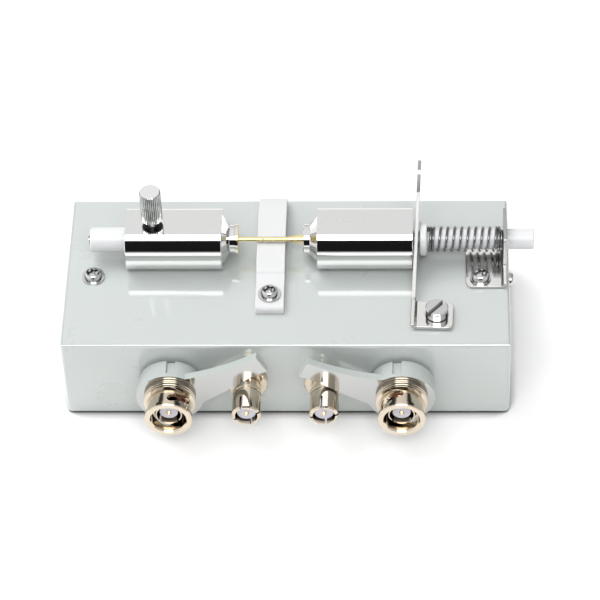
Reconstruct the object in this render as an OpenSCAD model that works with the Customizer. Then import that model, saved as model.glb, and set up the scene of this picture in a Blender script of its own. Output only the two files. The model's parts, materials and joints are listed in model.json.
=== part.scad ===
// Component test fixture: an enamelled box that plugs onto a row of four coaxial sockets by its front.
// On its top a chip part is held between two gold pins. The left pin slides and is locked by a
// thumbscrew. The right pin is on a sprung plunger, which a bent-sheet finger lever draws back.
// Frame: origin at the centre of the underside, +X along the box, +Z up, plugs point along -Y.

/* [Box] */
// Width of the box
box_w = 128; // [124:1:132]
// Depth of the box, front to back
box_d = 57.5; // [55:0.5:60]
// Height of the box
box_h = 28.5; // [27:0.5:30]
// Sheet thickness of the cover
wall_t = 1.2; // [1:0.1:1.6]
// Rounding of the long top edges
edge_r = 1.2; // [0.8:0.1:1.6]
// Rounding of the upright corners
corner_r = 1.6; // [1.2:0.1:2]
// Thickness of the base plate
base_t = 1.5; // [1.2:0.1:2]

/* [Contact line] */
// Distance of the contact line behind the box's centre
axis_y = 6.5; // [6:0.1:7]
// Height of the contact line above the box top
axis_up = 6.5; // [6.3:0.1:6.8]
// Radius of the bar that each shield block is cut from
block_r = 8.8; // [8.4:0.1:9.2]
// Height of a block's upper flat above the contact line
block_flat = 7.2; // [7:0.1:7.6]
// Where the two pins meet
meet_x = -6.9; // [-7.2:0.1:-6.6]
// Gap between the pin tips at rest
tip_gap = 0.25; // [0.2:0.05:0.6]
// Diameter of a pin at its tip
pin_d = 1.45; // [1.2:0.05:1.6]

/* [Finger lever] */
// Pivot, to the right of the box's centre
pivot_x = 43; // [42.9:0.1:43.1]
// Pivot, behind the box's centre
pivot_y = -18; // [-18.2:0.1:-17.8]
// Sheet thickness of the lever
lever_t = 1.1; // [1:0.1:1.2]
// Angle of the lever plate at rest
lever_yaw = 2; // [1.8:0.1:2]
// Height of the finger tab above the box top
tab_up = 25.4; // [24:0.1:28]

/* [Plugs] */
// Spacing of the four plugs
plug_pitch = 22; // [22:1:22]
// Height of the plug row above the underside
plug_up = 14; // [13.5:0.1:14.5]
// How far the bayonet plugs stand out
bayonet_out = 15.3; // [15:0.1:16]
// How far the sense plugs stand out
sense_out = 13.8; // [13:0.1:14.2]
// How far the right lock lever lies below the mirrored left one
right_lock_drop = 4.8; // [0:0.1:5]

/* [Hidden] */
$fn = 64;
EPS = 0.01;

// Colours
GREY = [0.80, 0.83, 0.82];
CHROME = [0.75, 0.76, 0.77];
STEEL = [0.66, 0.67, 0.68];
NICKEL = [0.78, 0.74, 0.68];
GOLD = [0.85, 0.65, 0.25];
WHITE = [0.95, 0.95, 0.94];
LILAC = [0.85, 0.84, 0.90];
DARK_RED = [0.35, 0.05, 0.06];
BLACK = [0.15, 0.15, 0.16];

front_y = -box_d / 2;
top_z = box_h;
axis_z = top_z + axis_up;

// Shield blocks
left_block_x0 = -46.4;
left_block_x1 = -18.65;
right_block_x0 = 8.7;
right_block_x1 = 36.2;
block_edge = 0.15;         // chamfer of a block's edges
left_neck_d = 8.2;
right_neck_d = 8.7;
left_cone_r = 7.4;         // a nose cone's radius where it meets the bar
right_cone_r = 6.9;
nose_cone_len = 2.15;
nose_bore_d = 6.5;
left_nose_x = -14.1;
right_nose_x = 4.75;
guard_d = 8.9;             // guard disc on the left nose
guard_t = 0.5;
guard_gold_t = 0.3;

// Sliding pieces on the contact line
run_gap = 0.03;            // radial gap of a running fit
pin_base_d = 3;
left_rod_d = 7;
left_rod_x0 = -56.8;
left_rod_x1 = -29;
neck_d = 4.4;
plunger_d = 6;
plunger_x1 = 71;
collar_x = 38.2;
collar_t = 2;
collar_d = 9.8;
guide_x0 = 22;
pin_socket = 8;            // how deep a pin is set in its rod

// Thumbscrew
thumb_x = -38.6;
thumb_d = 6.2;
thumb_up = 26.3;           // top of the head above the box top
thumb_head = 11;
thumb_teeth = 30;
thumb_flute = 0.3;         // depth of the head's flutes
thumb_edge = 0.35;         // chamfer of the head's ends
thumb_thread_d = 3;

// Sheet-metal brackets
bracket_x = 62.1;
bracket_t = 1;
bracket_top = 12.9;
bracket_half = 6.7;
bracket_foot_x0 = 51.4;
bracket_foot_y0 = -7.05;
bracket_screw_x = 55.6;
bracket_screw_y = -3.7;
lip_up = 2.3;              // height of the low lip beside a foot
foot_clear = 0.35;         // lever foot above the box top

// Finger lever, measured from its pivot
face_x = -6.25;            // right face of its plate, at the foot
plate_lean = 1.7;          // the plate leans to the right as it rises
foot_x1 = 4.65;
foot_y0 = -5.1;
foot_y1 = 4.6;
slot_y = 24;
slot_r = 3.1;
pivot_d = 4;

// Stage
stage_x0 = -8.75;
stage_w = 8.2;
stage_y0 = -16.8;
stage_y1 = 26.8;
stage_foot_up = 2.6;
stage_tail_up = 3;
stage_pad_up = axis_up - pin_d / 2 - 0.3;
stage_screw_y = -11.4;
stage_tail_screw_y = 21.5;
stage_screw_x = -4.75;

// Small fasteners
cover_screw_x = -56;
cover_screw_y = -2.3;
side_screw_y = -0.2;
side_screw_down = 3.7;
m3 = 3;
hole_gap = 0.1;
nut_t = 2.4;
nut_across = 5.5;
side_nut_across = 4.6;     // low nut that clears the cover's top
washer_t = 0.5;
block_screw_x = [-43.2, -28.5, 13.5, 28.5];
post_x = box_w / 2 - wall_t - 4.2;
post_y = box_d / 2 - wall_t - 4.2;
post_d = 7;

// Plugs, lengths measured outwards from the box's front
outer_x = 1.5 * plug_pitch;
inner_x = 0.5 * plug_pitch;
thread_d = 9.4;
thread_in = 9;
flange_d = 13;
flange_t = 0.6;
shoulder_d = 10;
shoulder_out = 3.1;
bearing_d = 8.9;
bearing_out = 6.1;
ring_out = 6.8;
contact_d = 8.1;
contact_out = 13.3;
contact_bore = 6.9;
gasket_seat_r = 4.35;      // seat of the ring and gasket, and where it ends outwards
gasket_out = 9.6;
sleeve_bore = 9.9;
hub_back = 0.9;
hub_out = 7.1;
key_len = 4.9;             // key recess in a lock lever's hub
sense_d = 8.25;
sense_bore = 6.4;
sense_neck_d = 7.2;        // the neck between flange and barrel
sense_rim_d = 8.5;         // the rim at the barrel's rear end
sense_rim_in = 5.2;        // where the rim starts
sense_rim_t = 1;
sense_groove_d = 7.8;      // between the rim and the contact face
sense_contact_in = 7.35;   // where its contact face starts
lead_d = 2.6;
lead_bend = 6;
lead_x = 24;               // where a sense lead rises into its block

// ---------- shared shapes ----------

// A turned piece on the contact line; its profile is [radius, x]
module on_axis(profile) {
    translate([0, axis_y, axis_z]) rotate([0, 90, 0]) rotate_extrude() polygon(profile);
}

// A turned piece on a plug's line; its profile is [radius, distance outwards]
module on_plug(x, profile) {
    translate([x, front_y, plug_up]) rotate([90, 0, 0]) rotate_extrude() polygon(profile);
}

// Moves its children, drawn along +Z, to point out of the front at x
module at_plug(x) {
    translate([x, front_y, plug_up]) rotate([90, 0, 0]) children();
}

// Profile of a plain ring
function ring(r_in, r_out, a, b) = [[r_in, a], [r_out, a], [r_out, b], [r_in, b]];

// Profile of a plain rod with a chamfer c at both ends
function rod(r, a, b, c) = [[0, a], [r - c, a], [r, a + c], [r, b - c], [r - c, b], [0, b]];

// Plate outline whose two upper corners are rounded
module top_rounded(w, h, r) {
    translate([-w / 2, 0]) square([w, h - r]);
    translate([-w / 2 + r, 0]) square([w - 2 * r, h]);
    for (s = [-1, 1]) translate([s * (w / 2 - r), h - r]) circle(r);
}

// Rectangle with four round corners, centred
module round_rect(w, d, r) {
    square([w - 2 * r, d], center = true);
    square([w, d - 2 * r], center = true);
    for (sx = [-1, 1], sy = [-1, 1]) translate([sx * (w / 2 - r), sy * (d / 2 - r)]) circle(r);
}

// Rectangle from [x0, y0] to [x1, y1] with round corners on one side (side = 1 right, -1 left)
module side_rounded(x0, x1, y0, y1, r, side) {
    translate([x0, y0 + r]) square([x1 - x0, y1 - y0 - 2 * r]);
    translate([side > 0 ? x0 : x0 + r, y0]) square([x1 - x0 - r, y1 - y0]);
    for (y = [y0 + r, y1 - r]) translate([side > 0 ? x1 - r : x0 + r, y]) circle(r);
}

// Round bar with its length along Z, edges chamfered
module bar(d, a, b, c = 0.3) {
    rotate_extrude() polygon(rod(d / 2, a, b, c));
}

// Pan head with a cross recess, its underside at z = 0, shank below
module cross_screw(head_d, head_h, shank) {
    recess = 0.42 * head_h;
    arm = 0.62 * head_d;
    difference() {
        union() {
            rotate_extrude() polygon([[0, 0], [head_d / 2, 0], [head_d / 2, 0.45 * head_h],
                [0.46 * head_d, 0.72 * head_h], [0.36 * head_d, 0.92 * head_h], [0.22 * head_d, head_h],
                [0, head_h]]);
            translate([0, 0, -shank]) cylinder(d = m3, h = shank + EPS);
        }
        for (a = [0, 90]) rotate(a + 25)
            translate([-arm / 2, -0.4, head_h - recess * 1.5]) cube([arm, 0.8, 2 * recess]);
        translate([0, 0, head_h - recess * 1.9]) cylinder(d = 1.6, h = 2 * recess);
    }
}

// Hexagon nut with its upper face at z = 0
module nut(across, t, hole) {
    difference() {
        translate([0, 0, -t]) cylinder(d = across / cos(30), h = t, $fn = 6);
        translate([0, 0, -t - EPS]) cylinder(d = hole, h = t + 2 * EPS);
    }
}

// Sheet bent up along Y: a foot at z0, a quarter bend and a lip up to lip_z, outer face at x = 0
module bend_strip(t, len_y, z0, lip_z, foot_len) {
    inner = 0.8;
    rotate([90, 0, 0]) translate([0, 0, -len_y]) linear_extrude(len_y) {
        translate([inner + t, z0]) square([foot_len - inner - t, t]);
        translate([0, z0 + inner + t]) square([t, lip_z - z0 - inner - t]);
        intersection() {
            translate([inner + t, z0 + inner + t]) difference() {
                circle(inner + t);
                circle(inner);
            }
            translate([0, z0]) square(inner + t);
        }
    }
}

// ---------- box ----------

// Solid outline of the box grown by g, used for the outside and the hollow
module box_form(w, d, h, r_up, r_top) {
    intersection() {
        linear_extrude(h) round_rect(w, d, r_up);
        rotate([90, 0, 0]) translate([0, 0, -d / 2]) linear_extrude(d) top_rounded(w, h, r_top);
        rotate([90, 0, 90]) translate([0, 0, -w / 2]) linear_extrude(w) top_rounded(d, h, r_top);
    }
}

module top_hole(x, y, d) {
    translate([x, y, top_z - wall_t - EPS]) cylinder(d = d, h = wall_t + 2 * EPS);
}

module cover_shell() {
    color(GREY) difference() {
        union() {
            difference() {
                box_form(box_w, box_d, box_h, corner_r, edge_r);
                translate([0, 0, -EPS]) linear_extrude(box_h - wall_t + EPS)
                    round_rect(box_w - 2 * wall_t, box_d - 2 * wall_t, 0.6);
            }
            // tapped posts that the base plate is screwed to
            for (sx = [-1, 1], sy = [-1, 1]) translate([sx * post_x, sy * post_y, base_t])
                cylinder(d = post_d, h = box_h - wall_t - base_t + EPS);
        }
        for (sx = [-1, 1], sy = [-1, 1]) translate([sx * post_x, sy * post_y, 0])
            cylinder(d = 2.5 + hole_gap, h = 10);
        for (x = [-outer_x, -inner_x, inner_x, outer_x]) at_plug(x)
            translate([0, 0, -wall_t - EPS]) cylinder(d = thread_d + 2 * hole_gap, h = wall_t + 2 * EPS);
        for (x = block_screw_x) top_hole(x, axis_y, m3 + 2 * hole_gap);
        for (x = [-outer_x, -lead_x, lead_x, outer_x]) top_hole(x, axis_y, lead_d + 0.4);
        for (y = [stage_screw_y, stage_tail_screw_y]) top_hole(stage_screw_x, y, m3 + 2 * hole_gap);
        top_hole(cover_screw_x, cover_screw_y, m3 + 2 * hole_gap);
        top_hole(bracket_screw_x, bracket_screw_y, m3 + 2 * hole_gap);
        top_hole(pivot_x, pivot_y, m3 + 2 * hole_gap);
        translate([box_w / 2 + EPS, side_screw_y, top_z - side_screw_down]) rotate([0, -90, 0])
            cylinder(d = m3 + 2 * hole_gap, h = wall_t + 2 * EPS);
    }
}

module base_plate() {
    gap = 0.15;
    color(GREY) difference() {
        linear_extrude(base_t) round_rect(box_w - 2 * wall_t - 2 * gap, box_d - 2 * wall_t - 2 * gap, 0.6);
        for (sx = [-1, 1], sy = [-1, 1]) translate([sx * post_x, sy * post_y, 0]) {
            translate([0, 0, -EPS]) cylinder(d = 2.8, h = base_t + 2 * EPS);
            translate([0, 0, -EPS]) cylinder(d1 = 5.2, d2 = 2.8, h = 1.2);
        }
    }
}

module base_plate_screws() {
    color(STEEL) for (sx = [-1, 1], sy = [-1, 1]) translate([sx * post_x, sy * post_y, 0]) difference() {
        rotate_extrude() polygon([[0, 0.1], [2.45, 0.1], [1.25, 1.25], [1.25, 8], [0, 8]]);
        translate([-1.5, -0.3, 0]) cube([3, 0.6, 0.7]);
    }
}

module washer_ring(x, y, z, d, t) {
    translate([x, y, z]) rotate_extrude() polygon(ring(m3 / 2 + 0.1, d / 2, 0, t));
}

module cover_screw() {
    color(STEEL) translate([cover_screw_x, cover_screw_y, top_z + washer_t]) cross_screw(4.8, 1.9, 5.4);
}

module cover_screw_washer() {
    color(STEEL) washer_ring(cover_screw_x, cover_screw_y, top_z, 6.5, washer_t);
}

module side_screw() {
    color(STEEL) translate([box_w / 2, side_screw_y, top_z - side_screw_down]) rotate([0, 90, 0])
        cross_screw(4.4, 1.4, 5.4);
}

module inner_nuts() {
    under = top_z - wall_t;
    color(STEEL) {
        for (p = [[cover_screw_x, cover_screw_y], [stage_screw_x, stage_screw_y],
                  [bracket_screw_x, bracket_screw_y], [pivot_x, pivot_y]])
            translate([p[0], p[1], under]) nut(nut_across, nut_t, m3 + hole_gap);
        translate([box_w / 2 - wall_t, side_screw_y, top_z - side_screw_down]) rotate([0, 90, 0])
            rotate(30) nut(side_nut_across, nut_t, m3 + hole_gap);
    }
}

// ---------- shield blocks ----------

// Turned bar with a coned nose, flats milled above and below; x0 to x1 is the bar, nose_x the nose's end
// and nose the profile of the nose from the foot of its cone outwards
module block_form(x0, x1, nose_x, nose, bore_d, back_x) {
    s = sign(nose_x - (x0 + x1) / 2);
    bar_end = s > 0 ? x1 : x0;
    bar_back = s > 0 ? x0 : x1;
    flat_down = axis_up;
    c = block_edge;
    difference() {
        on_axis(concat([[0, bar_back], [block_r - c, bar_back], [block_r, bar_back + s * c],
            [block_r, bar_end - s * c], [block_r - c, bar_end]],
            nose, [[0, nose_x]]));
        translate([min(x0, nose_x) - 1, axis_y - 10, axis_z + block_flat]) cube([60, 20, 5]);
        translate([min(x0, nose_x) - 1, axis_y - 10, axis_z - flat_down - 5]) cube([60, 20, 5]);
        translate([min(x0, nose_x) - 1, axis_y, axis_z]) rotate([0, 90, 0])
            cylinder(d = nose_bore_d, h = 60);
        translate([min(back_x, bar_end), axis_y, axis_z]) rotate([0, 90, 0])
            cylinder(d = bore_d, h = abs(bar_end - back_x));
    }
}

// Holes in a block's underside for its screws and leads
module block_holes(screws, leads) {
    for (x = screws) translate([x, axis_y, top_z - EPS]) cylinder(d = m3 + hole_gap, h = 2.6);
    for (x = leads) translate([x, axis_y, top_z - EPS]) cylinder(d = lead_d + 0.4, h = 2.6);
}

module left_shield_block() {
    root = left_block_x1 + nose_cone_len;
    disc = left_nose_x - guard_gold_t;
    nose = [[left_cone_r, left_block_x1], [left_neck_d / 2, root], [left_neck_d / 2, disc - guard_t],
            [guard_d / 2, disc - guard_t], [guard_d / 2, disc]];
    color(CHROME) difference() {
        block_form(left_block_x0, left_block_x1, disc, nose, left_rod_d + 2 * run_gap,
                   left_block_x0 - 1);
        block_holes([block_screw_x[0], block_screw_x[1]], [-outer_x, -lead_x]);
        translate([thumb_x, axis_y, axis_z + 3]) cylinder(d = thumb_thread_d + 0.1, h = 10);
    }
}

module right_shield_block() {
    r = right_neck_d / 2;
    c = block_edge;
    nose = [[right_cone_r, right_block_x0], [r, right_block_x0 - nose_cone_len],
            [r, right_nose_x + c], [r - c, right_nose_x]];
    color(CHROME) difference() {
        block_form(right_block_x0, right_block_x1, right_nose_x, nose, 8, right_block_x1 + 1);
        block_holes([block_screw_x[2], block_screw_x[3]], [outer_x, lead_x]);
    }
}

module block_screws() {
    color(STEEL) for (x = block_screw_x) translate([x, axis_y, top_z - wall_t]) {
        translate([0, 0, -2]) rotate_extrude() polygon([[0, 0], [2.4, 0], [2.75, 0.4], [2.75, 2], [0, 2]]);
        cylinder(d = m3, h = wall_t + 2.3);
    }
}

module left_nose_bush() {
    color(WHITE) on_axis(ring(pin_base_d / 2 + run_gap, nose_bore_d / 2, left_block_x1 - 1,
        left_nose_x - guard_gold_t));
}

// Gold-plated face of the left guard disc, which the thin pin comes out of
module left_guard_ring() {
    color(GOLD) on_axis(ring(pin_d / 2 + run_gap, guard_d / 2, left_nose_x - guard_gold_t, left_nose_x));
}

module right_nose_bush() {
    color(WHITE) on_axis(ring(pin_base_d / 2 + run_gap, nose_bore_d / 2, right_nose_x + 0.3, right_block_x0));
}

module plunger_guide_bush() {
    color(WHITE) on_axis(ring(neck_d / 2 + run_gap, 4, guide_x0, right_block_x1 - 0.4));
}

// ---------- pins, rods and spring ----------

// Gold pin: thin to the tip, coned out to its base
module contact_pin(tip_x, cone_x0, cone_x1, end_x) {
    s = sign(end_x - tip_x);
    c = 0.1;
    color(GOLD) on_axis([[0, tip_x], [pin_d / 2 - c, tip_x], [pin_d / 2, tip_x + s * c],
        [pin_d / 2, cone_x0], [pin_base_d / 2, cone_x1], [pin_base_d / 2, end_x], [0, end_x]]);
}

module left_contact_pin() {
    contact_pin(meet_x - tip_gap / 2, left_nose_x - 0.6, left_nose_x - 1.3, left_rod_x1 - pin_socket);
}

module right_contact_pin() {
    contact_pin(meet_x + tip_gap / 2, -0.4, right_nose_x - 0.1, 11 + pin_socket);
}

module left_rod() {
    c = 0.3;
    socket_r = pin_base_d / 2;
    color(WHITE) on_axis([[m3 / 2 - 0.3, left_rod_x0], [left_rod_d / 2 - c, left_rod_x0],
        [left_rod_d / 2, left_rod_x0 + c], [left_rod_d / 2, left_rod_x1 - c],
        [left_rod_d / 2 - c, left_rod_x1], [socket_r, left_rod_x1],
        [socket_r, left_rod_x1 - pin_socket], [m3 / 2 - 0.3, left_rod_x1 - pin_socket]]);
}

module left_end_screw() {
    color(STEEL) difference() {
        on_axis([[0, left_rod_x0 - 0.8], [0.9, left_rod_x0 - 0.8], [1.2, left_rod_x0 - 0.5],
            [1.2, left_rod_x0 + 8], [0, left_rod_x0 + 8]]);
        translate([left_rod_x0 - 1, axis_y - 0.2, axis_z - 2]) cube([0.7, 0.4, 4]);
    }
}

module clamp_thumbscrew() {
    head_bottom = top_z + thumb_up - thumb_head;
    r_root = thumb_d / 2 - thumb_flute;
    step = 360 / (2 * thumb_teeth);
    color(CHROME) translate([thumb_x, axis_y, 0]) {
        intersection() {
            translate([0, 0, head_bottom]) linear_extrude(thumb_head)
                polygon([for (i = [0:2 * thumb_teeth - 1])
                    let (r = i % 2 == 0 ? thumb_d / 2 : r_root) [r * cos(i * step), r * sin(i * step)]]);
            translate([0, 0, head_bottom]) bar(thumb_d + 0.1, 0, thumb_head, thumb_edge);
        }
        translate([0, 0, axis_z + left_rod_d / 2 + 0.3])
            cylinder(d = thumb_thread_d, h = head_bottom - axis_z - left_rod_d / 2 - 0.3 + EPS);
    }
}

module plunger_rod() {
    front_x = 11;
    socket_r = pin_base_d / 2;
    c = 0.3;
    color(WHITE) on_axis([[socket_r, front_x], [neck_d / 2 - c, front_x], [neck_d / 2, front_x + c],
        [neck_d / 2, collar_x + collar_t], [plunger_d / 2, collar_x + collar_t],
        [plunger_d / 2, plunger_x1 - c], [plunger_d / 2 - c, plunger_x1], [0, plunger_x1],
        [0, front_x + pin_socket], [socket_r, front_x + pin_socket]]);
}

module plunger_collar() {
    c = 0.3;
    r = collar_d / 2;
    color(WHITE) on_axis([[neck_d / 2, collar_x], [r - c, collar_x], [r, collar_x + c],
        [r, collar_x + collar_t - c], [r - c, collar_x + collar_t], [neck_d / 2, collar_x + collar_t]]);
}

// Compression spring: two nearly closed coils at each end, open coils between
spring_wire = 0.7;
spring_r = 3.45;
spring_turns = 12;
spring_closed = 2;
closed_pitch = spring_wire + 0.08;
spring_x0 = collar_x + collar_t + 0.05;
spring_len = bracket_x - 0.05 - spring_x0;
open_turns = spring_turns - 2 * spring_closed;
open_pitch = (spring_len - spring_wire - 2 * spring_closed * closed_pitch) / open_turns;
function spring_x(t) = spring_x0 + spring_wire / 2
    + closed_pitch * min(t, spring_closed)
    + open_pitch * max(0, min(t - spring_closed, open_turns))
    + closed_pitch * max(0, t - spring_closed - open_turns);
spring_steps = 22;
spring_sides = 8;
function spring_point(i, k) =
    let (t = i / spring_steps, a = 360 * t, b = 360 * k / spring_sides,
         r = spring_r + spring_wire / 2 * cos(b))
    [spring_x(t) + spring_wire / 2 * sin(b), axis_y + r * sin(a), axis_z + r * cos(a)];

module return_spring() {
    n = spring_turns * spring_steps;
    m = spring_sides;
    color(STEEL) polyhedron(
        points = [for (i = [0:n], k = [0:m - 1]) spring_point(i, k)],
        faces = concat(
            [[for (k = [0:m - 1]) k]],
            [for (i = [0:n - 1], k = [0:m - 1]) each [
                [i * m + k, (i + 1) * m + k, (i + 1) * m + (k + 1) % m],
                [i * m + k, (i + 1) * m + (k + 1) % m, i * m + (k + 1) % m]]],
            [[for (k = [m - 1:-1:0]) n * m + k]]));
}

// ---------- stage, bracket and lever ----------

// Side view of the stage, [distance behind the box's centre, height above the box top]
module stage_outline() {
    pad0 = -0.1;
    pad1 = 18.2;
    ramp = 4.6;
    nose_r = 1.6;
    blend_r = 2;
    difference() {
        polygon(concat(
            [for (a = [180:-10:90])
                [stage_y0 + nose_r * (1 + cos(a)), stage_foot_up + nose_r * (sin(a) - 1)]],
            [[pad0 - ramp, stage_foot_up], [pad0, stage_pad_up], [pad1, stage_pad_up],
             [stage_y1 - 0.6, stage_tail_up], [stage_y1, stage_tail_up - 0.6], [stage_y1, 0],
             [stage_y0, 0]]));
        // hollow blend where the ramp meets the foot
        translate([pad0 - ramp - 0.3, stage_foot_up + blend_r - 0.1]) circle(blend_r);
    }
}

module contact_stage() {
    color(WHITE) difference() {
        translate([stage_x0, 0, top_z]) rotate([90, 0, 90]) linear_extrude(stage_w) stage_outline();
        translate([stage_screw_x, stage_screw_y, top_z - EPS])
            cylinder(d = m3 + 2 * hole_gap, h = stage_foot_up + 2 * EPS);
        translate([stage_screw_x, stage_tail_screw_y, top_z - EPS]) cylinder(d = m3, h = stage_tail_up);
    }
}

// The front screw comes from above, the rear one from inside the box
module stage_screws() {
    color(STEEL) {
        translate([stage_screw_x, stage_screw_y, top_z + stage_foot_up + washer_t])
            cross_screw(4.6, 1.9, 7.8);
        translate([stage_screw_x, stage_tail_screw_y, top_z - wall_t]) mirror([0, 0, 1])
            cross_screw(5, 1.8, wall_t + 2.8);
    }
}

module stage_washers() {
    color(STEEL) washer_ring(stage_screw_x, stage_screw_y, top_z + stage_foot_up, 6.4, washer_t);
}

module end_bracket() {
    foot_w = bracket_x + bracket_t - bracket_foot_x0;
    foot_y1 = axis_y + bracket_half;
    color(STEEL) difference() {
        union() {
            translate([bracket_x + bracket_t, bracket_foot_y0, top_z]) mirror([1, 0, 0])
                bend_strip(bracket_t, foot_y1 - bracket_foot_y0, 0, lip_up, 4);
            translate([0, 0, top_z]) linear_extrude(bracket_t)
                side_rounded(bracket_foot_x0, bracket_x - 1, bracket_foot_y0, foot_y1, 2, -1);
            translate([bracket_x, axis_y, top_z + lip_up]) rotate([90, 0, 90]) linear_extrude(bracket_t)
                top_rounded(2 * bracket_half, bracket_top - lip_up, 1);
        }
        translate([bracket_x - 1, axis_y, axis_z]) rotate([0, 90, 0])
            cylinder(r = plunger_d / 2 + 0.08, h = bracket_t + 2);
        translate([bracket_screw_x, bracket_screw_y, top_z - EPS])
            cylinder(d = m3 + 2 * hole_gap, h = bracket_t + 2 * EPS);
        // bend relief where the tall part starts
        translate([bracket_x - 1, axis_y - bracket_half, top_z + lip_up - 0.1]) rotate([0, 90, 0])
            cylinder(d = 0.9, h = bracket_t + 2);
    }
}

module bracket_screw() {
    color(STEEL) translate([bracket_screw_x, bracket_screw_y, top_z + bracket_t + washer_t])
        cross_screw(5.1, 2, 6.2);
}

module bracket_screw_washer() {
    color(STEEL) washer_ring(bracket_screw_x, bracket_screw_y, top_z + bracket_t, 6, washer_t);
}

// Side view of the lever's plate, [distance behind the pivot, height above the box top]
module lever_plate() {
    low = 1.2;
    slope_y = 5.7;
    tab_y0 = 32.6;
    tab_y1 = 39;
    difference() {
        union() {
            polygon([[slope_y, lip_up], [tab_y0, 17.4], [tab_y0, tab_up - 1], [tab_y0 + 1, tab_up],
                [tab_y1 - 1.5, tab_up], [tab_y1, tab_up - 1.5], [tab_y1, 17], [34.5, low],
                [foot_y1 + 0.9, low], [foot_y1 + 0.9, lip_up]]);
            translate([foot_y1 + 0.1, lip_up - 0.9]) square([2, 0.9]);
        }
        translate([slot_y, axis_up]) circle(slot_r);
        translate([slot_y - slot_r, 0]) square([2 * slot_r, axis_up]);
        // bend relief
        translate([foot_y1 + 0.9, low + 0.1]) circle(0.5);
    }
}

module finger_lever() {
    color(STEEL) translate([pivot_x, pivot_y, top_z]) rotate(-lever_yaw) difference() {
        union() {
            translate([face_x - lever_t, foot_y0, 0])
                bend_strip(lever_t, foot_y1 - foot_y0 + 0.2, foot_clear, lip_up, 5);
            translate([0, 0, foot_clear]) linear_extrude(lever_t)
                side_rounded(face_x + 1, foot_x1, foot_y0, foot_y1, 1.6, 1);
            translate([face_x - lever_t, 0, lip_up]) rotate([0, plate_lean, 0]) translate([0, 0, -lip_up])
                rotate([90, 0, 90]) linear_extrude(lever_t) lever_plate();
        }
        translate([0, 0, foot_clear - EPS]) cylinder(r = pivot_d / 2 + 0.05, h = lever_t + 2 * EPS);
    }
}

module lever_pivot_screw() {
    head_z = foot_clear + lever_t + 0.08;
    head_h = 2.9;
    head_d = 6.5;
    color(STEEL) translate([pivot_x, pivot_y, top_z]) difference() {
        union() {
            translate([0, 0, head_z]) bar(head_d, 0, head_h, 0.25);
            cylinder(d = pivot_d, h = head_z + 0.5);
            translate([0, 0, -5.2]) cylinder(d = m3, h = 5.2 + EPS);
        }
        rotate(48) translate([-head_d, -0.6, head_z + head_h - 1.5]) cube([2 * head_d, 1.2, 3]);
    }
}

module pivot_spacer() {
    color(STEEL) translate([pivot_x, pivot_y, top_z])
        rotate_extrude() polygon(ring(pivot_d / 2 + 0.05, 4, 0, foot_clear - 0.05));
}

// ---------- bayonet plugs ----------

// Four slots that make the contact's end springy
module finger_slots(r, from, to, turn) {
    for (a = [0, 90, 180, 270]) rotate(a + turn) translate([r - 1.6, -0.3, from]) cube([2.2, 0.6, to - from]);
}

module plug_body(x) {
    color(NICKEL) difference() {
        on_plug(x, [[contact_bore / 2, -thread_in], [thread_d / 2 - 0.4, -thread_in],
            [thread_d / 2, -thread_in + 0.4], [thread_d / 2, 0], [flange_d / 2, 0],
            [flange_d / 2, flange_t], [shoulder_d / 2, flange_t], [shoulder_d / 2, shoulder_out],
            [bearing_d / 2, shoulder_out], [bearing_d / 2, bearing_out], [gasket_seat_r, bearing_out],
            [gasket_seat_r, gasket_out],
            [contact_d / 2, gasket_out], [contact_d / 2, contact_out - 0.4],
            [contact_d / 2 - 0.3, contact_out], [contact_bore / 2, contact_out]]);
        at_plug(x) finger_slots(contact_d / 2, contact_out - 3.4, contact_out + 1, 45);
    }
}

module left_plug_body() { plug_body(-outer_x); }
module right_plug_body() { plug_body(outer_x); }

// White core: fills the body behind, stepped down inside the contact
module plug_insulator(x, out) {
    bore_r = 0.69;
    color(LILAC) on_plug(x, [[bore_r, -thread_in + 1], [contact_bore / 2, -thread_in + 1],
        [contact_bore / 2, out - 4.6], [2.55, out - 4.6], [2.55, out], [bore_r, out]]);
}

module left_plug_insulator() { plug_insulator(-outer_x, contact_out - 1); }
module right_plug_insulator() { plug_insulator(outer_x, contact_out - 1); }

module centre_pin(x, out) {
    color(GOLD) on_plug(x, [[0, -thread_in - 2], [0.69, -thread_in - 2], [0.69, out - 0.5],
        [0.3, out], [0, out]]);
}

module left_plug_pin() { centre_pin(-outer_x, contact_out - 0.3); }
module right_plug_pin() { centre_pin(outer_x, contact_out - 0.3); }

module plug_gaskets() {
    color(DARK_RED) for (x = [-outer_x, outer_x])
        on_plug(x, ring(gasket_seat_r, 4.65, ring_out + 0.3, gasket_out));
}

module retaining_rings() {
    color(STEEL) for (x = [-outer_x, outer_x])
        on_plug(x, ring(gasket_seat_r, 4.75, bearing_out, ring_out));
}

module friction_washers() {
    color(STEEL) for (x = [-outer_x, outer_x])
        on_plug(x, ring(bearing_d / 2, 5, shoulder_out, shoulder_out + 0.4));
}

// One step of a bayonet slot, from angle a0 at height z0 to angle a1 at height z1
module slot_step(a0, z0, a1, z1) {
    hull() for (p = [[a0, z0], [a1, z1]]) rotate(p[0]) translate([4.5, 0, p[1]]) rotate([0, 90, 0])
        cylinder(d = 2.3, h = 3, $fn = 24);
}

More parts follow.
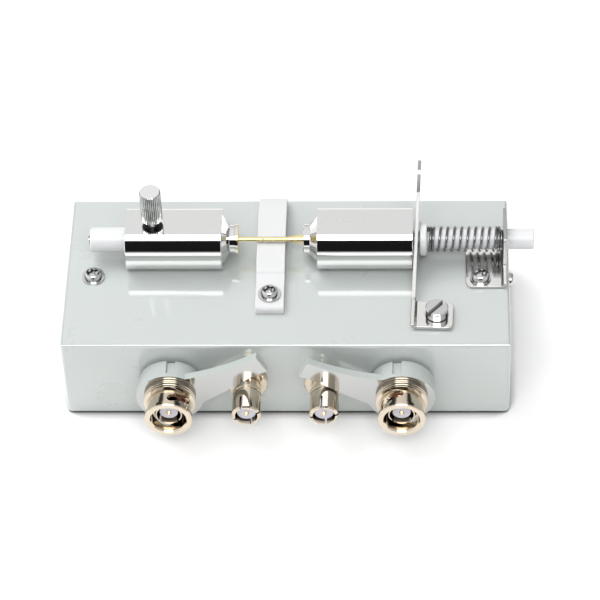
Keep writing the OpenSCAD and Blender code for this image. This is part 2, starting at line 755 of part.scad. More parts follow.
module coupling_sleeve(x, start) {
    lip_r = bearing_d / 2 + run_gap;
    b = sleeve_bore / 2;
    slot_out = 12;             // front end of a bayonet slot
    color(NICKEL) difference() {
        on_plug(x, [[5.3, hub_back], [5.5, hub_back], [5.5, hub_out], [7.35, hub_out], [7.35, 7.6],
            [7.1, 7.75], [7.1, 7.95], [7.35, 8.1], [7.35, 8.4], [7.1, 8.55], [7.1, 8.75], [7.35, 8.9],
            [7.35, 9.1], [6.15, 9.3], [6.15, 13.6], [6.8, 13.9], [6.8, 15], [6.6, bayonet_out],
            [b + 0.3, bayonet_out], [b, bayonet_out - 0.4], [b, 6], [lip_r, 6], [lip_r, 3.65], [5.3, 3.65]]);
        at_plug(x) for (side = [0, 180]) rotate(start + side) for (i = [0:2])
            slot_step(-i * 18, slot_out - i * 0.5, -(i + 1) * 18, slot_out - (i + 1) * 0.5);
    }
}

module left_coupling_sleeve() { coupling_sleeve(-outer_x, 82); }
module right_coupling_sleeve() { coupling_sleeve(outer_x, 150); }

// Outline of a lock lever's front plate about its hub, arm to the right
module lock_outline() {
    difference() {
        polygon([[0, 0], [7.2, -6.3], [10, -1.6], [11.6, -0.5], [17.3, 3.85], [24.4, 9.7],
            [28.2, 11.5], [25.2, 17.45], [14, 20], [0, 20]]);
        translate([-11.3, 71.9]) circle(65.6, $fn = 180);
    }
    circle(9.6);
}

module lock_lever(x, drop, flip) {
    plate_t = 2.2;
    color(GREY) at_plug(x) mirror([flip, 0, 0]) rotate(-drop) difference() {
        union() {
            translate([0, 0, hub_back]) cylinder(r = 9.2, h = hub_out - hub_back);
            translate([0, 0, hub_out - plate_t]) linear_extrude(plate_t) lock_outline();
        }
        translate([0, 0, hub_back - EPS]) cylinder(r = 5.5, h = hub_out - hub_back + 2 * EPS);
        // key recess in the hub's top
        translate([-0.65, 8.3, hub_back - EPS]) cube([2.4, 2, key_len]);
    }
}

module left_lock_lever() { lock_lever(-outer_x, 0, 0); }
module right_lock_lever() { lock_lever(outer_x, right_lock_drop, 1); }

// ---------- sense plugs ----------

module sense_body(x, turn) {
    r = sense_d / 2;
    rim_r = sense_rim_d / 2;
    rim_out = sense_rim_in + sense_rim_t;
    c = 0.15;
    color(NICKEL) difference() {
        on_plug(x, [[sense_bore / 2, -thread_in], [thread_d / 2 - 0.4, -thread_in],
            [thread_d / 2, -thread_in + 0.4], [thread_d / 2, 0], [5.8, 0], [5.8, 1.9], [5.5, 2.2],
            [sense_neck_d / 2, 2.2], [sense_neck_d / 2, sense_rim_in], [rim_r - c, sense_rim_in],
            [rim_r, sense_rim_in + c], [rim_r, rim_out - c], [rim_r - c, rim_out],
            [sense_groove_d / 2, rim_out], [sense_groove_d / 2, sense_contact_in],
            [r, sense_contact_in], [r, sense_out - 0.4], [r - 0.4, sense_out],
            [sense_bore / 2, sense_out]]);
        at_plug(x) finger_slots(r, sense_out - 4.2, sense_out + 1, turn);
    }
}

module left_sense_body() { sense_body(-inner_x, 22); }
module right_sense_body() { sense_body(inner_x, 8); }

module sense_insulator(x) {
    out = sense_out - 1.3;
    color(LILAC) on_plug(x, [[0.69, -thread_in + 1], [sense_bore / 2, -thread_in + 1],
        [sense_bore / 2, out - 3.8], [2.65, out - 3.8], [2.65, out], [0.69, out]]);
}

module left_sense_insulator() { sense_insulator(-inner_x); }
module right_sense_insulator() { sense_insulator(inner_x); }

module left_sense_pin() { centre_pin(-inner_x, sense_out - 0.5); }
module right_sense_pin() { centre_pin(inner_x, sense_out - 0.5); }

// ---------- inside the box ----------

module plug_nuts() {
    color(NICKEL) for (x = [-outer_x, -inner_x, inner_x, outer_x]) at_plug(x)
        translate([0, 0, -wall_t - 0.6]) nut(12, 2.6, thread_d + hole_gap);
}

module plug_lock_washers() {
    color(STEEL) for (x = [-outer_x, -inner_x, inner_x, outer_x])
        on_plug(x, ring(thread_d / 2 + 0.05, 6.6, -wall_t - 0.6, -wall_t));
}

// Quarter bend of a lead in the XY plane about [0, 0], from +X round to +Y
module lead_elbow() {
    rotate_extrude(angle = 90) translate([lead_bend, 0]) circle(d = lead_d, $fn = 24);
}

lead_start = front_y + thread_in + 2;

// Lead straight back from a bayonet plug, then up into its block
module current_lead(x) {
    color(BLACK) {
        translate([x, lead_start, plug_up]) rotate([-90, 0, 0])
            cylinder(d = lead_d, h = axis_y - lead_bend - lead_start);
        translate([x, axis_y - lead_bend, plug_up + lead_bend]) rotate([90, 0, 90]) rotate(-90) lead_elbow();
        translate([x, axis_y, plug_up + lead_bend])
            cylinder(d = lead_d, h = top_z + 2.2 - plug_up - lead_bend);
    }
}

module left_current_lead() { current_lead(-outer_x); }
module right_current_lead() { current_lead(outer_x); }

// Lead back from a sense plug, sideways under its block, then up; side = -1 left, 1 right
module sense_lead(side) {
    run_x0 = inner_x + lead_bend;
    run_x1 = lead_x - lead_bend;
    color(BLACK) mirror([side < 0 ? 1 : 0, 0, 0]) {
        translate([inner_x, lead_start, plug_up]) rotate([-90, 0, 0])
            cylinder(d = lead_d, h = axis_y - lead_bend - lead_start);
        translate([run_x0, axis_y - lead_bend, plug_up]) rotate(90) lead_elbow();
        translate([run_x0, axis_y, plug_up]) rotate([0, 90, 0]) cylinder(d = lead_d, h = run_x1 - run_x0);
        translate([run_x1, axis_y, plug_up + lead_bend]) rotate([90, 0, 0]) rotate(-90) lead_elbow();
        translate([lead_x, axis_y, plug_up + lead_bend])
            cylinder(d = lead_d, h = top_z + 2.2 - plug_up - lead_bend);
    }
}

module left_sense_lead() { sense_lead(-1); }
module right_sense_lead() { sense_lead(1); }

cover_shell();
base_plate();
base_plate_screws();
cover_screw();
cover_screw_washer();
side_screw();
left_shield_block();
right_shield_block();
block_screws();
left_nose_bush();
left_guard_ring();
right_nose_bush();
plunger_guide_bush();
contact_stage();
stage_screws();
stage_washers();
end_bracket();
bracket_screw();
bracket_screw_washer();
lever_pivot_screw();
pivot_spacer();
inner_nuts();
finger_lever();
return_spring();
plunger_rod();
plunger_collar();
right_contact_pin();
left_rod();
left_contact_pin();
left_end_screw();
clamp_thumbscrew();
left_plug_body();
right_plug_body();
left_plug_insulator();
right_plug_insulator();
left_plug_pin();
right_plug_pin();
plug_gaskets();
retaining_rings();
friction_washers();
left_coupling_sleeve();
right_coupling_sleeve();
left_lock_lever();
right_lock_lever();
left_sense_body();
right_sense_body();
left_sense_insulator();
right_sense_insulator();
left_sense_pin();
right_sense_pin();
plug_nuts();
plug_lock_washers();
left_current_lead();
right_current_lead();
left_sense_lead();
right_sense_lead();
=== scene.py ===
"""Looks of the component test fixture: camera, studio, materials and the fine pieces round the CAD frame."""
import json
import math

import bmesh
import bpy
from mathutils import Matrix, Vector


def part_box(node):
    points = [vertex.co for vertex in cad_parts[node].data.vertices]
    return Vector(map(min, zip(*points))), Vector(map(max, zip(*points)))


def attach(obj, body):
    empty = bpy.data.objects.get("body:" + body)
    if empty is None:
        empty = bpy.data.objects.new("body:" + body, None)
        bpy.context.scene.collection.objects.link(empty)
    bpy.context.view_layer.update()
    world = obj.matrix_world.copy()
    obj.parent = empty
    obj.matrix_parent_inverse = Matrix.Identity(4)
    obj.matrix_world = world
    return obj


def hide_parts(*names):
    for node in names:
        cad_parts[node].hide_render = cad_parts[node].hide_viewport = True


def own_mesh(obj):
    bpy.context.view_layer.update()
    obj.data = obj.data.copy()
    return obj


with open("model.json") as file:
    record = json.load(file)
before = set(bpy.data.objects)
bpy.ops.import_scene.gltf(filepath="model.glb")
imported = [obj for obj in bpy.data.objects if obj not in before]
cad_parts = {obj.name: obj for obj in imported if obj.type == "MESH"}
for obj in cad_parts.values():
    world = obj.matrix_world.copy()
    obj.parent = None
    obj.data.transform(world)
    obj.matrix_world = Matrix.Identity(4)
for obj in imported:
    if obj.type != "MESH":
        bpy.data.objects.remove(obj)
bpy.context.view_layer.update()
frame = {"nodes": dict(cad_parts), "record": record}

MM = 0.001
scene = bpy.context.scene
nodes = frame["nodes"]

# ---------------------------------------------------------------- camera

CAMERA_PLACE = Vector((0.0361, -0.6036, 0.682))
CAMERA_DOWN = math.radians(47.77)
CAMERA_TURN = math.radians(-3.11)     # to the right of +Y
CAMERA_ROLL = math.radians(-2.37)
CAMERA_LENS = 185.0


def make_camera():
    """The long-lens view from the front and above."""
    right = Vector((math.cos(CAMERA_TURN), -math.sin(CAMERA_TURN), 0))
    ahead = Vector((math.sin(CAMERA_TURN) * math.cos(CAMERA_DOWN),
                    math.cos(CAMERA_TURN) * math.cos(CAMERA_DOWN), -math.sin(CAMERA_DOWN)))
    up = right.cross(ahead)
    roll = Matrix.Rotation(-CAMERA_ROLL, 3, ahead)
    right, up = roll @ right, roll @ up
    data = bpy.data.cameras.new("camera")
    data.lens = CAMERA_LENS
    data.sensor_width = 36.0
    data.clip_start, data.clip_end = 0.05, 20
    camera = bpy.data.objects.new("camera", data)
    scene.collection.objects.link(camera)
    turn = Matrix((right, up, -ahead)).transposed()
    camera.matrix_world = Matrix.Translation(CAMERA_PLACE) @ turn.to_4x4()
    scene.camera = camera


make_camera()

# ---------------------------------------------------------------- node helpers

OPENNESS_SAMPLES = 8


class Nodes:
    """A node tree that is built up with short calls."""

    def __init__(self, tree):
        self.tree = tree
        self.tree.nodes.clear()

    def add(self, kind, settings=None, **inputs):
        """A node of that type; settings are its properties, inputs its sockets by name or number."""
        made = self.tree.nodes.new(kind)
        for name, value in (settings or {}).items():
            setattr(made, name, value)
        for name, value in inputs.items():
            numbered = name[0] == "i" and name[1:].isdigit()
            self.put(made.inputs[int(name[1:]) if numbered else name.replace("_", " ")], value)
        return made

    def put(self, socket, value):
        """Links value to socket if it is another socket, and otherwise sets it."""
        if isinstance(value, bpy.types.NodeSocket):
            self.tree.links.new(value, socket)
        else:
            socket.default_value = value

    def math(self, operation, a, b=0.0, c=0.0):
        return self.add("ShaderNodeMath", {"operation": operation}, i0=a, i1=b, i2=c).outputs[0]

    def place(self):
        """Coordinates fixed to the piece, in metres."""
        return self.add("ShaderNodeTexCoord").outputs["Object"]

    def stretch(self, vector, scale):
        return self.add("ShaderNodeMapping", Vector=vector, Scale=scale).outputs[0]

    def noise(self, vector, scale, detail=3.0, rough=0.5):
        made = self.add("ShaderNodeTexNoise", Vector=vector, Scale=scale, Detail=detail, Roughness=rough)
        return made.outputs["Fac"]

    def spots(self, vector, scale):
        """Distance to the nearest of scattered points."""
        return self.add("ShaderNodeTexVoronoi", Vector=vector, Scale=scale).outputs["Distance"]

    def ramp(self, fac, *stops):
        """Colour ramp; stops are (position, grey or colour)."""
        made = self.add("ShaderNodeValToRGB", Fac=fac)
        bar = made.color_ramp
        while len(bar.elements) > 1:
            bar.elements.remove(bar.elements[-1])
        for i, (at, shade) in enumerate(stops):
            stop = bar.elements[0] if i == 0 else bar.elements.new(at)
            stop.position = at
            stop.color = (*((shade,) * 3 if isinstance(shade, float) else shade), 1)
        return made.outputs[0]

    def between(self, fac, low, high):
        """Value from low at fac 0 to high at fac 1."""
        return self.add("ShaderNodeMapRange", {"clamp": True}, Value=fac, To_Min=low, To_Max=high).outputs[0]

    def span(self, value, low, high):
        """0 at low to 1 at high."""
        made = self.add("ShaderNodeMapRange", {"clamp": True}, Value=value, From_Min=low, From_Max=high)
        return made.outputs[0]

    def mix(self, fac, a, b, mode="MIX"):
        made = self.add("ShaderNodeMix", {"data_type": "RGBA", "blend_type": mode})
        self.put(made.inputs[0], fac)
        for socket, value in ((made.inputs[6], a), (made.inputs[7], b)):
            self.put(socket, (*value, 1) if isinstance(value, tuple) and len(value) == 3 else value)
        return made.outputs[2]

    def blend(self, fac, a, b):
        """Value from a at fac 0 to b at fac 1."""
        return self.add("ShaderNodeMix", {"data_type": "FLOAT"}, i0=fac, i2=a, i3=b).outputs[0]

    def height(self, vector):
        return self.add("ShaderNodeSeparateXYZ", Vector=vector).outputs["Z"]

    def facing(self, axis):
        """How far the surface faces along that axis of the piece, -1 to 1."""
        normal = self.add("ShaderNodeTexCoord").outputs["Normal"]
        return self.add("ShaderNodeSeparateXYZ", Vector=normal).outputs[axis]

    def openness(self, reach):
        """Share of the open space within reach that the surface sees."""
        made = self.add("ShaderNodeAmbientOcclusion", {"samples": OPENNESS_SAMPLES}, Distance=reach)
        return made.outputs["AO"]

    def crevice(self, reach):
        """0 in a crevice narrower than reach, 1 in the open."""
        return self.ramp(self.openness(reach), (0.25, 0.0), (0.8, 1.0))

    def bump(self, height, depth, strength=1.0, under=None):
        """Surface relief; depth is the height's full range in metres."""
        made = self.add("ShaderNodeBump", Height=height, Distance=depth, Strength=strength)
        if under is not None:
            self.put(made.inputs["Normal"], under)
        return made.outputs[0]


def material(name):
    made = bpy.data.materials.new(name)
    made.use_nodes = True
    return made, Nodes(made.node_tree)


def shader(n, **inputs):
    """Principled surface; a colour may be a tuple of three."""
    inputs = {name: (*value, 1) if name.endswith("Color") and isinstance(value, tuple) else value
              for name, value in inputs.items()}
    surface = n.add("ShaderNodeBsdfPrincipled", None, **inputs)
    n.add("ShaderNodeOutputMaterial", Surface=surface.outputs[0])
    return surface


# ---------------------------------------------------------------- studio

FLOOR_DROP = 1.1 * MM                 # the shadow gap under the base
FLOOR_SIZE = 0.9
FLOOR_WHITE, FLOOR_SHADED = (0.88, 0.88, 0.88), (0.05, 0.05, 0.05)
FLOOR_CONTACT = 6 * MM                # how far the contact shadow reaches
CONTACT_SHADES = ((0.3, 0.03), (0.5, 0.35), (0.56, 0.8), (0.68, 1.0))     # white's share by openness
FLOOR_GLOW = 0.1                      # the table is a little lit from below
# Brightness of the room by the angle from straight up, degrees towards the front
ROOM = ((-180, 0.35), (-100, 0.35), (-86, 0.6), (-66, 0.9), (-50, 1.0), (16, 1.0), (28, 6.0), (46, 6.0),
        (48.5, 0.012), (90.5, 0.012), (92, 0.42), (180, 0.35))
ROOM_PEAK = 6.0                       # the brightest of these; a ramp's colours stay below 1
# The same in the gaps beside the middle
ROOM_GAPS = ((-180, 0.2), (-110, 0.05), (-15, 0.05), (5, 0.9), (60, 0.9), (180, 0.35))
GAPS_FROM, GAPS_TO = 0.3, 0.42        # share of the way sideways where the middle gives way to the gaps
ROOM_SIDES = 0.95                     # brightness far to the left and right
SIDES_FROM, SIDES_TO = 0.74, 0.82     # where the gaps give way to that
LEFT_SHARE = -0.3                     # how much brighter the left is
ROOM_STRENGTH = 0.95
KEY_PLACE = (-0.6, 0.4, 1.1)
KEY_SIZE = 0.7
KEY_WATTS = 9


def make_floor():
    """White table, just large enough that the camera doesn't see its edge."""
    bpy.ops.mesh.primitive_plane_add(size=FLOOR_SIZE, location=(0, 0, -FLOOR_DROP))
    floor = bpy.context.object
    floor.name = "floor"
    made, n = material("white_table")
    # Painted contact shadow: the table's colour and glow darken where little open space lies within
    # FLOOR_CONTACT
    open_share = n.ramp(n.openness(FLOOR_CONTACT), *CONTACT_SHADES)
    surface = shader(n, Base_Color=n.mix(open_share, FLOOR_SHADED, FLOOR_WHITE), Roughness=0.7,
                     Emission_Color=open_share)
    surface.inputs["Emission Strength"].default_value = FLOOR_GLOW
    surface.inputs["Specular IOR Level"].default_value = 0.1
    floor.data.materials.append(made)


def make_key():
    """Soft box high behind the fixture, not seen in the bright metal."""
    data = bpy.data.lights.new("key", "AREA")
    data.size = KEY_SIZE
    data.energy = KEY_WATTS
    light = bpy.data.objects.new("key", data)
    scene.collection.objects.link(light)
    light.location = KEY_PLACE
    light.rotation_euler = (-Vector(KEY_PLACE)).to_track_quat("-Z", "Y").to_euler()
    light.visible_glossy = False


def make_room():
    """Bright ceiling that ends over the camera, dark beyond it; dark gaps and pale walls left and right."""
    world = bpy.data.worlds.new("room")
    world.use_nodes = True
    scene.world = world
    n = Nodes(world.node_tree)
    way = n.add("ShaderNodeSeparateXYZ", Vector=n.add("ShaderNodeTexCoord").outputs["Generated"]).outputs
    angle = n.math("ARCTAN2", n.math("MULTIPLY", way["Y"], -1.0), way["Z"])
    turn = n.math("MULTIPLY_ADD", angle, 1 / (2 * math.pi), 0.5)
    middle, gaps = (n.ramp(turn, *((degrees / 360 + 0.5, grey / ROOM_PEAK) for degrees, grey in stops))
                    for stops in (ROOM, ROOM_GAPS))
    aside = n.math("ABSOLUTE", way["X"])
    level = n.mix(n.span(aside, GAPS_FROM, GAPS_TO), middle, gaps)
    level = n.mix(n.span(aside, SIDES_FROM, SIDES_TO), level, (ROOM_SIDES / ROOM_PEAK,) * 3)
    lean = n.math("MULTIPLY_ADD", way["X"], LEFT_SHARE, 1.0)
    strength = n.math("MULTIPLY", lean, ROOM_PEAK * ROOM_STRENGTH)
    n.add("ShaderNodeOutputWorld",
          Surface=n.add("ShaderNodeBackground", Color=level, Strength=strength).outputs[0])


make_floor()
make_key()
make_room()
scene.view_settings.view_transform = "Standard"

# ---------------------------------------------------------------- materials

# How far the painted shade in crevices reaches
CREVICE_SHADE_REACH = 0.9 * MM


def paint_crevice_shade(n, colour, share, reach=CREVICE_SHADE_REACH):
    """The colour with painted shade, darkened by share in crevices."""
    return n.mix(n.between(n.crevice(reach), share, 0.0), colour, (0.02, 0.019, 0.018))


def enamel_coat(n, at, colour, peel):
    """Colour, roughness and relief of enamel with a few specks and faint orange peel of strength peel."""
    specks = n.ramp(n.spots(at, 45.0), (0.0, 0.0), (0.006, 0.0), (0.009, 1.0))
    base = n.mix(n.between(n.noise(at, 22.0, 2.0), 0.0, 1.0), tuple(c * 0.985 for c in colour), colour)
    base = n.mix(specks, tuple(c * 0.75 for c in colour), base)
    rough = n.between(n.noise(at, 60.0, 4.0), 0.26, 0.3)
    return base, rough, n.bump(n.noise(at, 420.0, 2.0), 0.0000015, peel)


def enamel(name, colour):
    """Stoved enamel under a clear gloss."""
    made, n = material(name)
    base, rough, relief = enamel_coat(n, n.place(), colour, 0.6)
    surface = shader(n, Base_Color=base, Roughness=rough, Normal=relief)
    surface.inputs["Coat Weight"].default_value = 1.0
    surface.inputs["Coat Roughness"].default_value = 0.09
    surface.inputs["Coat IOR"].default_value = 1.75
    return made


def faced_enamel(name, colour, metal):
    """Enamelled casting whose front face is ground bright."""
    made, n = material(name)
    at = n.place()
    base, rough, relief = enamel_coat(n, at, colour, 0.9)
    ground = n.span(n.facing("Y"), -0.93, -0.985)
    grain = n.noise(n.stretch(at, (1500, 1500, 2600)), 1.0, 4.0, 0.7)
    # Painted shade darkens the ground face in its crevices
    face_colour = paint_crevice_shade(n, n.mix(n.between(grain, 0.0, 1.0), tuple(c * 0.95 for c in metal), metal), 0.4)
    shader(n, Base_Color=n.mix(ground, base, face_colour), Metallic=ground,
           Roughness=n.blend(ground, rough, n.between(grain, 0.09, 0.15)),
           Normal=n.bump(n.math("MULTIPLY", grain, ground), 0.000001, 1.0, relief))
    return made


def plated(name, colour, low, high, grain, crevice_shade, reach=CREVICE_SHADE_REACH):
    """Bright plating of roughness low to high with stretched grain; grime is how dark the shade painted into
    its crevices is.
    """
    made, n = material(name)
    at = n.place()
    lines = n.noise(n.stretch(at, grain), 1.0, 4.0, 0.7)
    cloud = n.noise(at, 160.0, 3.0)
    base = n.mix(n.between(cloud, 0.0, 1.0), tuple(c * 0.94 for c in colour), colour)
    rough = n.math("ADD", n.between(lines, low, high), n.between(cloud, 0.0, 0.05))
    # Painted shade darkens the plating in its crevices
    shader(n, Base_Color=paint_crevice_shade(n, base, crevice_shade, reach), Metallic=1.0, Roughness=rough,
           Normal=n.bump(lines, 0.000004))
    return made


KNURL_TEETH = 30


def knurled(piece):
    """Bright steel with painted shade in the flutes and on the underside; piece is the knurled head on its
    upright axis.
    """
    made, n = material("knurled")
    corners = [Vector(corner) for corner in piece.bound_box]
    axis = sum(corners, Vector()) / len(corners)
    at = n.place()
    from_axis = n.add("ShaderNodeVectorMath", {"operation": "SUBTRACT"}, i0=at, i1=axis).outputs[0]
    way = n.add("ShaderNodeSeparateXYZ", Vector=from_axis).outputs
    wave = n.math("COSINE", n.math("MULTIPLY", n.math("ARCTAN2", way["Y"], way["X"]), float(KNURL_TEETH)))
    depth = n.span(wave, -1.0, 0.1)
    end = n.math("GREATER_THAN", n.facing("Z"), 0.9)
    under = n.math("LESS_THAN", n.facing("Z"), -0.5)
    worn = n.noise(at, 700.0, 4.0, 0.6)
    # Painted shade: a near-black band in each flute, one per tooth
    flute = n.mix(depth, (0.03, 0.03, 0.03), (0.72, 0.73, 0.72))
    flute = n.mix(n.ramp(worn, (0.4, 0.0), (0.65, 0.6)), flute, (0.16, 0.16, 0.16))
    # Painted shade: faces turned downwards are near black
    base = n.mix(under, n.mix(end, flute, (0.84, 0.84, 0.84)), (0.05, 0.05, 0.05))
    shader(n, Base_Color=base, Metallic=1.0, Roughness=n.between(worn, 0.14, 0.3),
           Normal=n.bump(worn, 0.000004))
    return made


def sheet_metal(name, colour, edge_colour, plate_from):
    """Bright sheet with dull cut edges: front and back, and above plate_from the sloping and level ones."""
    made, n = material(name)
    at = n.place()
    lines = n.noise(n.stretch(at, (60, 700, 60)), 1.0, 4.0, 0.7)
    cloud = n.noise(at, 160.0, 3.0)
    upper = n.math("GREATER_THAN", n.height(at), plate_from)
    rim = n.math("MULTIPLY", upper, n.math("LESS_THAN", n.math("ABSOLUTE", n.facing("X")), 0.6))
    edge = n.math("MAXIMUM", rim, n.math("GREATER_THAN", n.math("ABSOLUTE", n.facing("Y")), 0.9))
    base = n.mix(n.between(cloud, 0.0, 1.0), tuple(c * 0.94 for c in colour), colour)
    # Painted shade darkens the sheet in its crevices
    shader(n, Base_Color=paint_crevice_shade(n, n.mix(edge, base, edge_colour), 0.7), Metallic=1.0,
           Roughness=n.blend(edge, n.between(lines, 0.07, 0.17), n.between(cloud, 0.4, 0.5)),
           Normal=n.bump(lines, 0.000003))
    return made


def block_plating():
    """Turned bar: bright round part with turning lines, satin pitted flats."""
    made, n = material("block_plating")
    at = n.place()
    flat = n.math("GREATER_THAN", n.facing("Z"), 0.995)
    lines = n.noise(n.stretch(at, (2600, 25, 25)), 1.0, 3.0, 0.6)
    mill = n.noise(n.stretch(at, (120, 1800, 100)), 1.0, 3.0, 0.6)
    pits = n.ramp(n.spots(at, 900.0), (0.0, 0.0), (0.06, 0.2), (0.12, 1.0))
    cloud = n.noise(at, 260.0, 4.0, 0.6)
    rough = n.blend(flat, n.between(lines, 0.03, 0.08), n.between(cloud, 0.07, 0.13))
    base = n.mix(n.between(cloud, 0.0, 0.5), (0.78, 0.78, 0.77), (0.71, 0.71, 0.71))
    base = n.mix(flat, base, (0.745, 0.745, 0.74), "DARKEN")
    pitted = n.mix(n.math("MULTIPLY", flat, n.math("SUBTRACT", 1.0, pits)), base, (0.40, 0.39, 0.38))
    flat_relief = n.math("MULTIPLY", flat, n.math("MULTIPLY", pits, mill))
    relief = n.bump(flat_relief, 0.00001, 0.6, n.bump(lines, 0.000001))
    # Painted shade darkens the bar in its crevices
    shader(n, Base_Color=paint_crevice_shade(n, pitted, 0.75), Metallic=1.0, Roughness=rough, Normal=relief)
    return made


def plastic(name, colour, rough, scatter, marks=(700, 40, 40)):
    """Satin pale plastic with tool marks and slight scatter below the surface."""
    made, n = material(name)
    at = n.place()
    tooling = n.noise(n.stretch(at, marks), 1.0, 3.0)
    cloud = n.noise(at, 90.0, 3.0)
    base = n.mix(n.between(cloud, 0.0, 1.0), tuple(c * 0.97 for c in colour), colour)
    # Painted shade darkens the plastic in its crevices
    surface = shader(n, Base_Color=paint_crevice_shade(n, base, 0.25), Normal=n.bump(tooling, 0.000006),
                     Roughness=n.between(tooling, rough - 0.06, rough + 0.08))
    surface.inputs["Subsurface Weight"].default_value = scatter
    surface.inputs["Subsurface Radius"].default_value = (1.0, 1.0, 1.0)
    surface.inputs["Subsurface Scale"].default_value = 0.8 * MM
    return made


def matt(name, dark, light, grain_scale, rough):
    """Soft matt rubber or vinyl with a fine grain."""
    made, n = material(name)
    grain = n.noise(n.place(), grain_scale, 3.0)
    shader(n, Base_Color=n.mix(grain, dark, light), Roughness=n.between(grain, rough - 0.08, rough + 0.08),
           Normal=n.bump(grain, 0.00001))
    return made


ENAMEL_GREY = (0.46, 0.492, 0.478)
RIMS_FROM = 6 * MM                    # the upright sheets' rims are dull from this far over the box
finishes = {
    "enamel": enamel("enamel", ENAMEL_GREY),
    "lock_enamel": faced_enamel("lock_enamel", (0.42, 0.455, 0.44), (0.50, 0.505, 0.495)),
    "block_plating": block_plating(),
    "sheet_steel": sheet_metal("sheet_steel", (0.82, 0.81, 0.79), (0.52, 0.52, 0.51),
                               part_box("cover_shell")[1].z + RIMS_FROM),
    "fastener": plated("fastener", (0.64, 0.64, 0.64), 0.06, 0.12, (900, 900, 900), crevice_shade=0.95),
    "knurled": knurled(nodes["clamp_thumbscrew"]),
    "spring_steel": plated("spring_steel", (0.25, 0.255, 0.26), 0.05, 0.1, (300, 300, 300), crevice_shade=0.9),
    "plug_nickel": plated("plug_nickel", (0.68, 0.595, 0.48), 0.05, 0.11, (60, 1600, 60), crevice_shade=0.92,
                          reach=1.5 * MM),
    "gold_plating": plated("gold_plating", (0.93, 0.79, 0.43), 0.10, 0.18, (900, 90, 90), crevice_shade=0.5),
    "white_plastic": plastic("white_plastic", (0.68, 0.69, 0.70), 0.32, 0.3),
    "stage_plastic": plastic("stage_plastic", (0.64, 0.645, 0.65), 0.45, 0.2, (60, 900, 60)),
    "plug_dielectric": plastic("plug_dielectric", (0.60, 0.59, 0.66), 0.38, 0.2),
    "gasket_rubber": matt("gasket_rubber", (0.16, 0.008, 0.01), (0.24, 0.016, 0.018), 2500.0, 0.5),
    "lead_jacket": matt("lead_jacket", (0.012, 0.012, 0.013), (0.03, 0.03, 0.032), 1800.0, 0.48),
}

# ---------------------------------------------------------------- edges

# Millimetres that the long edges of these pieces are broken by
ROUNDED = {"left_lock_lever": 0.18, "right_lock_lever": 0.18, "contact_stage": 0.2, "finger_lever": 0.14,
           "end_bracket": 0.14}
SHARP = math.radians(34)              # a bend beyond this is an edge
FLAT = math.radians(0.5)              # faces that bend less are one face
WELD = 0.002 * MM                     # corners closer than this are one
PLAIN = {"return_spring"}             # replaced by a finer piece
TURNED_BEND = math.radians(4.2)       # a turned piece's round face lies this close to round
END_FACE = 0.05                       # a face that leans outwards by less is an end


def turned_pieces():
    """For each turned piece, its axis's direction and the piece in whose middle the axis lies."""
    along_line, along_plug = Vector((1, 0, 0)), Vector((0, 1, 0))
    turned = {name: (along_line, "left_rod") for name in (
        "left_shield_block", "right_shield_block", "left_rod", "left_contact_pin", "right_contact_pin",
        "plunger_rod", "plunger_collar", "left_guard_ring")}
    for side in ("left_", "right_"):
        for name in ("coupling_sleeve", "plug_body", "plug_insulator", "plug_pin"):
            turned[side + name] = (along_plug, side + "coupling_sleeve")
        for name in ("sense_body", "sense_insulator", "sense_pin"):
            turned[side + name] = (along_plug, side + "sense_insulator")
    return turned


def shade_turned(piece, axis, middle):
    """Gives the round faces of a turned piece the normals of a true surface of revolution."""
    back = piece.matrix_world.inverted()
    axis = (back.to_3x3() @ axis).normalized()
    middle = back @ middle
    mesh = piece.data
    bend = math.cos(TURNED_BEND)
    normals = []
    for face in mesh.polygons:
        along = face.normal.dot(axis)
        across = face.normal - along * axis
        spokes = [mesh.vertices[i].co - middle for i in face.vertices]
        spokes = [(spoke - spoke.dot(axis) * axis).normalized() for spoke in spokes]
        least = bend * across.length
        turned = across.length > END_FACE and all(abs(spoke.dot(across)) > least for spoke in spokes)
        for spoke in spokes:
            out = across.length if spoke.dot(across) > 0 else -across.length
            normals.append((out * spoke + along * axis).normalized() if turned else face.normal)
    mesh.normals_split_custom_set([tuple(normal) for normal in normals])


def sharpen(piece):
    """Keeps a smooth-shaded piece's flats flat and its edges crisp."""
    piece.modifiers.new("weld", "WELD").merge_threshold = WELD
    planes = piece.modifiers.new("planes", "DECIMATE")
    planes.decimate_type = "DISSOLVE"
    planes.angle_limit = FLAT
    if piece.name in ROUNDED:
        bevel = piece.modifiers.new("bevel", "BEVEL")
        bevel.width = ROUNDED[piece.name] * MM
        bevel.segments = 2
        bevel.limit_method = "ANGLE"
        bevel.angle_limit = SHARP
        bevel.use_clamp_overlap = False
        piece.modifiers.new("weighted", "WEIGHTED_NORMAL").keep_sharp = False
    else:
        piece.modifiers.new("split", "EDGE_SPLIT").split_angle = SHARP


def finish_nodes():
    """Gives every CAD node the finish of its slot and its shading."""
    turned = turned_pieces()
    for part in frame["record"]["subparts"]:
        name = part["node"]
        piece = nodes[name]
        piece.data.materials.clear()
        piece.data.materials.append(finishes[part["material_slot"]])
        if name in PLAIN:
            continue
        for face in piece.data.polygons:
            face.use_smooth = True
        if name in turned:
            axis, centred = turned[name]
            shade_turned(piece, axis, sum(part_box(centred), Vector()) / 2)
        else:
            sharpen(piece)


finish_nodes()

# ---------------------------------------------------------------- return spring

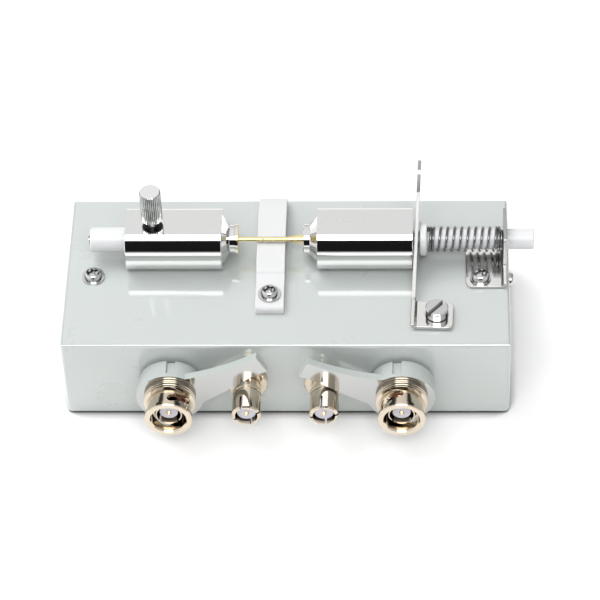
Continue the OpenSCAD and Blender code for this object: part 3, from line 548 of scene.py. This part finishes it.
SPRING_SIDES = 12
SPRING_STEPS = 48                     # rings in one turn
SPRING_TURNS = 13
SPRING_CLOSED = 2                     # closed turns at each end
SPRING_WIRE = 0.68 * MM
SPRING_GAP = 0.08 * MM                # between closed turns


def wind(low, high):
    """Mesh of a coil spring with closed ends that fills the box from low to high, along X."""
    middle = (low + high) / 2
    radius = (high.z - low.z - SPRING_WIRE) / 2
    closed = SPRING_WIRE + SPRING_GAP
    free_turns = SPRING_TURNS - 2 * SPRING_CLOSED
    pitch = (high.x - low.x - SPRING_WIRE - 2 * SPRING_CLOSED * closed) / free_turns
    mesh = bmesh.new()
    rings = []
    for i in range(SPRING_TURNS * SPRING_STEPS + 1):
        turns = i / SPRING_STEPS
        along = (closed * min(turns, SPRING_CLOSED)
                 + pitch * max(0.0, min(turns - SPRING_CLOSED, free_turns))
                 + closed * max(0.0, turns - SPRING_CLOSED - free_turns))
        x = low.x + SPRING_WIRE / 2 + along
        turn = 2 * math.pi * turns
        out = Vector((0, math.sin(turn), math.cos(turn)))
        centre = Vector((x, middle.y, middle.z)) + radius * out
        rings.append([mesh.verts.new(centre + SPRING_WIRE / 2 * (
            out * math.cos(2 * math.pi * k / SPRING_SIDES)
            + Vector((1, 0, 0)) * math.sin(2 * math.pi * k / SPRING_SIDES))) for k in range(SPRING_SIDES)])
    for one, two in zip(rings, rings[1:]):
        for k in range(SPRING_SIDES):
            after = (k + 1) % SPRING_SIDES
            mesh.faces.new((one[k], two[k], two[after], one[after])).smooth = True
    mesh.faces.new(rings[0])
    mesh.faces.new(list(reversed(rings[-1])))
    bmesh.ops.recalc_face_normals(mesh, faces=mesh.faces)
    data = bpy.data.meshes.new("wound_spring")
    mesh.to_mesh(data)
    mesh.free()
    return data


def make_spring():
    """Wound wire in the place of the CAD spring."""
    low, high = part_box("return_spring")
    spring = bpy.data.objects.new("wound_spring", wind(low, high))
    scene.collection.objects.link(spring)
    spring.data.materials.append(finishes["spring_steel"])
    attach(spring, "housing")
    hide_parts("return_spring")
    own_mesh(spring)


make_spring()
